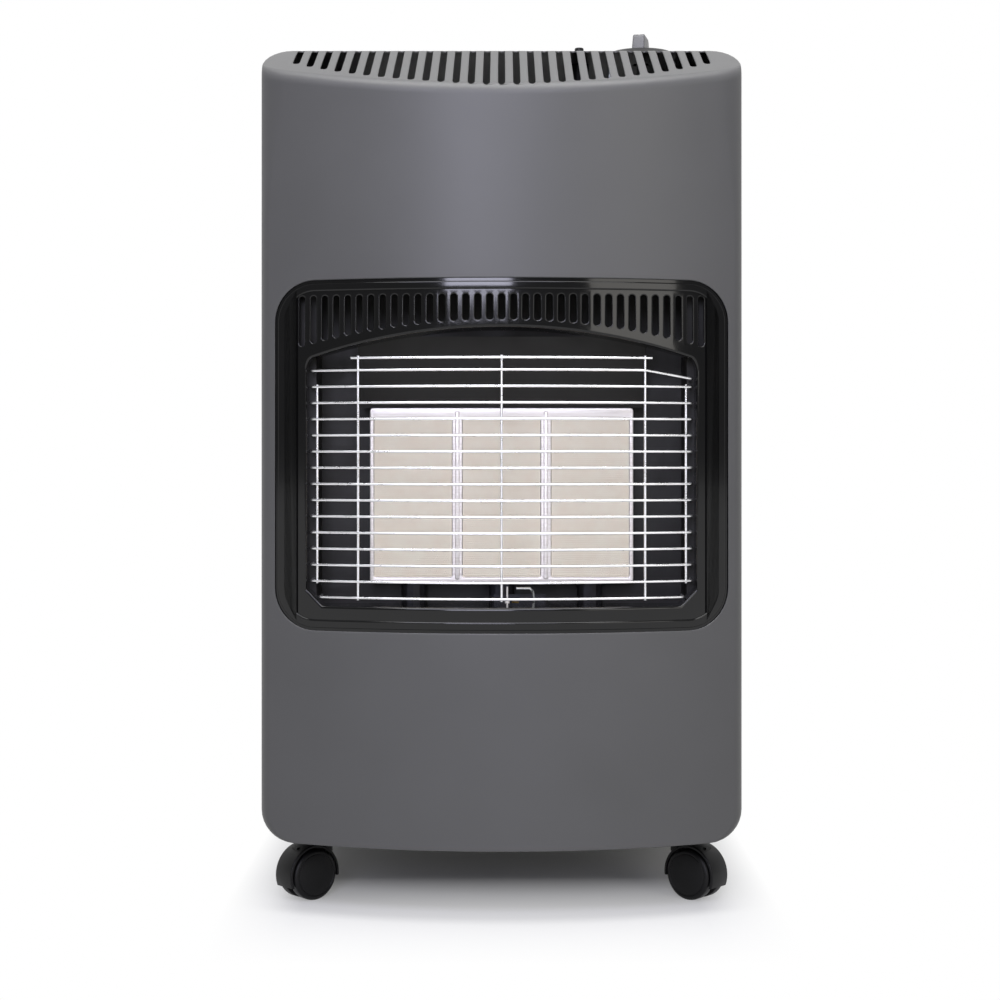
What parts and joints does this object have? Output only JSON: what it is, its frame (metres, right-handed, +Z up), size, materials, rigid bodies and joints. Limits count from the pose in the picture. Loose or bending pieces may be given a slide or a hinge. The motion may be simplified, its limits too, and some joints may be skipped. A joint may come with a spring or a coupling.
{
  "type": "portable gas cabinet heater",
  "caption": "Free-standing radiant gas room heater: bowed sheet-metal cabinet on casters, plaque burner behind a wire guard, slotted top and a cylinder bay at the back.",
  "frame": {"origin": "on the floor, midway across the width and midway between the front of the bow and the back of the rear cover", "axes": "+X to the viewer's right seen from the front, +Y to the back, +Z up"},
  "size_m": [0.42, 0.44, 0.79],
  "materials": {
    "cabinet_paint": "satin powder coat",
    "black_enamel": "gloss enamel",
    "firebox_black": "heat-resisting matt black",
    "bright_wire": "bright plated",
    "burner_steel": "bright stainless",
    "ceramic": "porous fired ceramic",
    "galvanised": "galvanised",
    "brass": "machined",
    "aluminium": "drawn",
    "white_ceramic": "glazed",
    "black_plastic": "moulded, fine texture",
    "grey_plastic": "moulded, satin",
    "chrome": "polished"
  },
  "bodies": {
    "cabinet": {"front_panel": "cabinet_paint", "side_panel_left": "cabinet_paint", "side_panel_right": "cabinet_paint", "top_panel": "cabinet_paint", "back_panel": "cabinet_paint", "handle_cup_left": "black_plastic", "handle_cup_right": "black_plastic", "base_tray": "black_enamel", "burner_surround": "black_enamel", "firebox": "firebox_black", "heat_deflector": "firebox_black", "heat_shield": "galvanised", "wire_guard": "bright_wire", "burner_frame": "burner_steel", "ceramic_plaque_1": "ceramic", "ceramic_plaque_2": "ceramic", "ceramic_plaque_3": "ceramic", "burner_body_1": "galvanised", "burner_body_2": "galvanised", "burner_body_3": "galvanised", "pilot_bracket": "galvanised", "pilot_burner": "brass", "ignition_electrode": "white_ceramic", "thermocouple": "chrome", "gas_manifold": "brass", "feed_pipe": "aluminium", "gas_valve": "brass", "hose_nozzle": "brass", "valve_bracket": "galvanised", "pilot_tube": "aluminium", "thermocouple_lead": "brass", "ignition_lead": "white_ceramic", "control_bezel": "black_plastic", "piezo_igniter": "white_ceramic"},
    "valve_stem": {"valve_spindle": "chrome"},
    "knob": {"control_knob": "grey_plastic"},
    "igniter_button": {"piezo_button": "black_plastic"},
    "rear_door": {"rear_cover": "cabinet_paint"},
    "caster_front_left": {"caster_housing_front_left": "black_plastic", "caster_axle_front_left": "chrome"},
    "wheel_front_left_a": {"caster_wheel_front_left_a": "black_plastic"},
    "wheel_front_left_b": {"caster_wheel_front_left_b": "black_plastic"},
    "caster_front_right": {"caster_housing_front_right": "black_plastic", "caster_axle_front_right": "chrome"},
    "wheel_front_right_a": {"caster_wheel_front_right_a": "black_plastic"},
    "wheel_front_right_b": {"caster_wheel_front_right_b": "black_plastic"},
    "caster_rear_left": {"caster_housing_rear_left": "black_plastic", "caster_axle_rear_left": "chrome"},
    "wheel_rear_left_a": {"caster_wheel_rear_left_a": "black_plastic"},
    "wheel_rear_left_b": {"caster_wheel_rear_left_b": "black_plastic"},
    "caster_rear_right": {"caster_housing_rear_right": "black_plastic", "caster_axle_rear_right": "chrome"},
    "wheel_rear_right_a": {"caster_wheel_rear_right_a": "black_plastic"},
    "wheel_rear_right_b": {"caster_wheel_rear_right_b": "black_plastic"}
  },
  "joints": [
    {"name": "knob_push", "type": "slide", "parent": "cabinet", "child": "valve_stem", "axis": [0, 0, -1], "range_m": [0, 0.004], "stiffness_N_per_m": 1000, "springref_m": -0.002},
    {"name": "knob_turn", "type": "hinge", "parent": "valve_stem", "child": "knob", "pos_m": [0.131, -0.032, 0.78], "axis": [0, 0, 1], "range_deg": [0, 225]},
    {"name": "igniter_press", "type": "slide", "parent": "cabinet", "child": "igniter_button", "axis": [0, 0, -1], "range_m": [0, 0.006], "stiffness_N_per_m": 1200, "springref_m": -0.002},
    {"name": "rear_cover_tilt", "type": "hinge", "parent": "cabinet", "child": "rear_door", "pos_m": [0, 0.2059, 0.071], "axis": [-1, 0, 0], "range_deg": [0, 75]},
    {"name": "swivel_front_left", "type": "hinge", "parent": "cabinet", "child": "caster_front_left", "pos_m": [-0.1606, -0.106, 0.055], "axis": [0, 0, 1], "continuous": true},
    {"name": "roll_front_left_a", "type": "hinge", "parent": "caster_front_left", "child": "wheel_front_left_a", "pos_m": [-0.17419, -0.11781, 0.0225], "axis": [0.6561, -0.7547, 0], "continuous": true},
    {"name": "roll_front_left_b", "type": "hinge", "parent": "caster_front_left", "child": "wheel_front_left_b", "pos_m": [-0.17419, -0.11781, 0.0225], "axis": [0.6561, -0.7547, 0], "continuous": true},
    {"name": "swivel_front_right", "type": "hinge", "parent": "cabinet", "child": "caster_front_right", "pos_m": [0.1606, -0.106, 0.055], "axis": [0, 0, 1], "continuous": true},
    {"name": "roll_front_right_a", "type": "hinge", "parent": "caster_front_right", "child": "wheel_front_right_a", "pos_m": [0.17419, -0.11781, 0.0225], "axis": [0.6561, 0.7547, 0], "continuous": true},
    {"name": "roll_front_right_b", "type": "hinge", "parent": "caster_front_right", "child": "wheel_front_right_b", "pos_m": [0.17419, -0.11781, 0.0225], "axis": [0.6561, 0.7547, 0], "continuous": true},
    {"name": "swivel_rear_left", "type": "hinge", "parent": "cabinet", "child": "caster_rear_left", "pos_m": [-0.16, 0.15, 0.055], "axis": [0, 0, 1], "continuous": true},
    {"name": "roll_rear_left_a", "type": "hinge", "parent": "caster_rear_left", "child": "wheel_rear_left_a", "pos_m": [-0.16863, 0.1658, 0.0225], "axis": [-0.8776, -0.4794, 0], "continuous": true},
    {"name": "roll_rear_left_b", "type": "hinge", "parent": "caster_rear_left", "child": "wheel_rear_left_b", "pos_m": [-0.16863, 0.1658, 0.0225], "axis": [-0.8776, -0.4794, 0], "continuous": true},
    {"name": "swivel_rear_right", "type": "hinge", "parent": "cabinet", "child": "caster_rear_right", "pos_m": [0.16, 0.15, 0.055], "axis": [0, 0, 1], "continuous": true},
    {"name": "roll_rear_right_a", "type": "hinge", "parent": "caster_rear_right", "child": "wheel_rear_right_a", "pos_m": [0.16701, 0.16658, 0.0225], "axis": [-0.9211, 0.3894, 0], "continuous": true},
    {"name": "roll_rear_right_b", "type": "hinge", "parent": "caster_rear_right", "child": "wheel_rear_right_b", "pos_m": [0.16701, 0.16658, 0.0225], "axis": [-0.9211, 0.3894, 0], "continuous": true}
  ]
}
